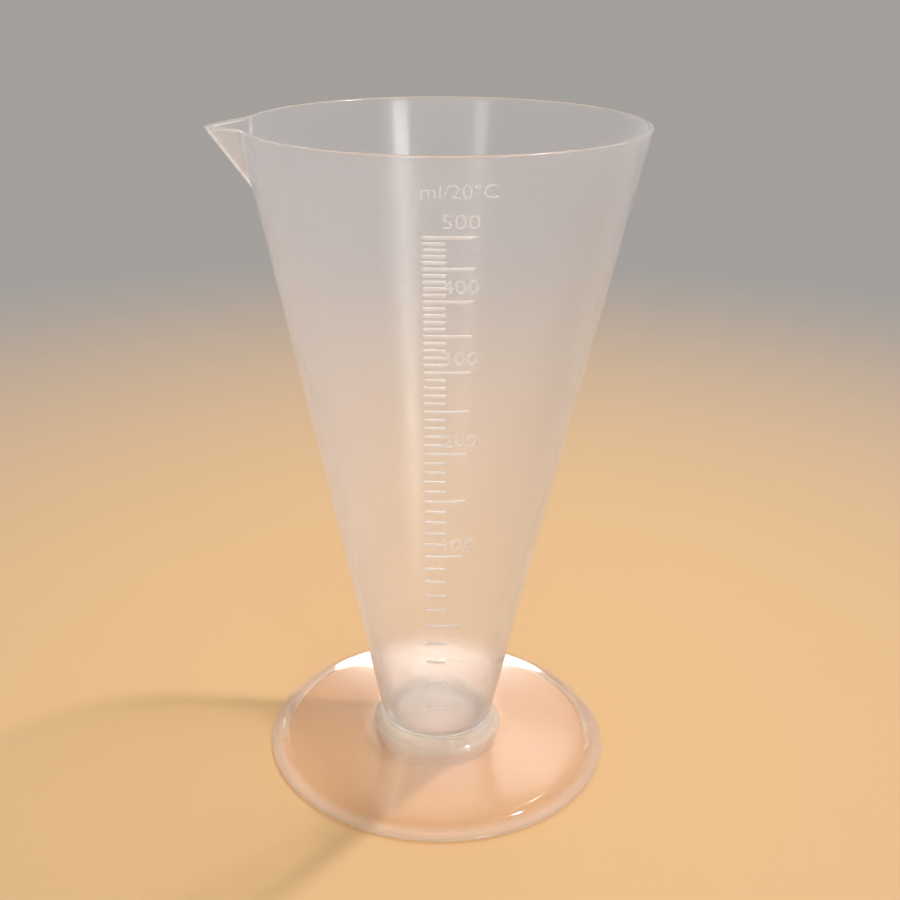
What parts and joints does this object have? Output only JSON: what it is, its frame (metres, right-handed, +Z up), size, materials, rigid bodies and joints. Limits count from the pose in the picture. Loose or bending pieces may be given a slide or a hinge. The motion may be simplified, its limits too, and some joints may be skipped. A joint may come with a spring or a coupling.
{
  "type": "measuring jug",
  "caption": "Tall tapered measuring jug in translucent plastic, with a pouring lip, a raised millilitre scale and a separate round foot.",
  "frame": {"origin": "on the cup's axis, in the plane that the foot stands on", "axes": "+Z up along the cup's axis, -X towards the pouring lip, -Y towards the scale"},
  "size_m": [0.1123, 0.1042, 0.183],
  "materials": {
    "cup_plastic": "natural milky translucent moulding, satin gloss",
    "foot_plastic": "natural milky translucent moulding, gloss"
  },
  "bodies": {
    "root": {"cup_body": "cup_plastic", "foot": "foot_plastic"}
  },
  "joints": []
}
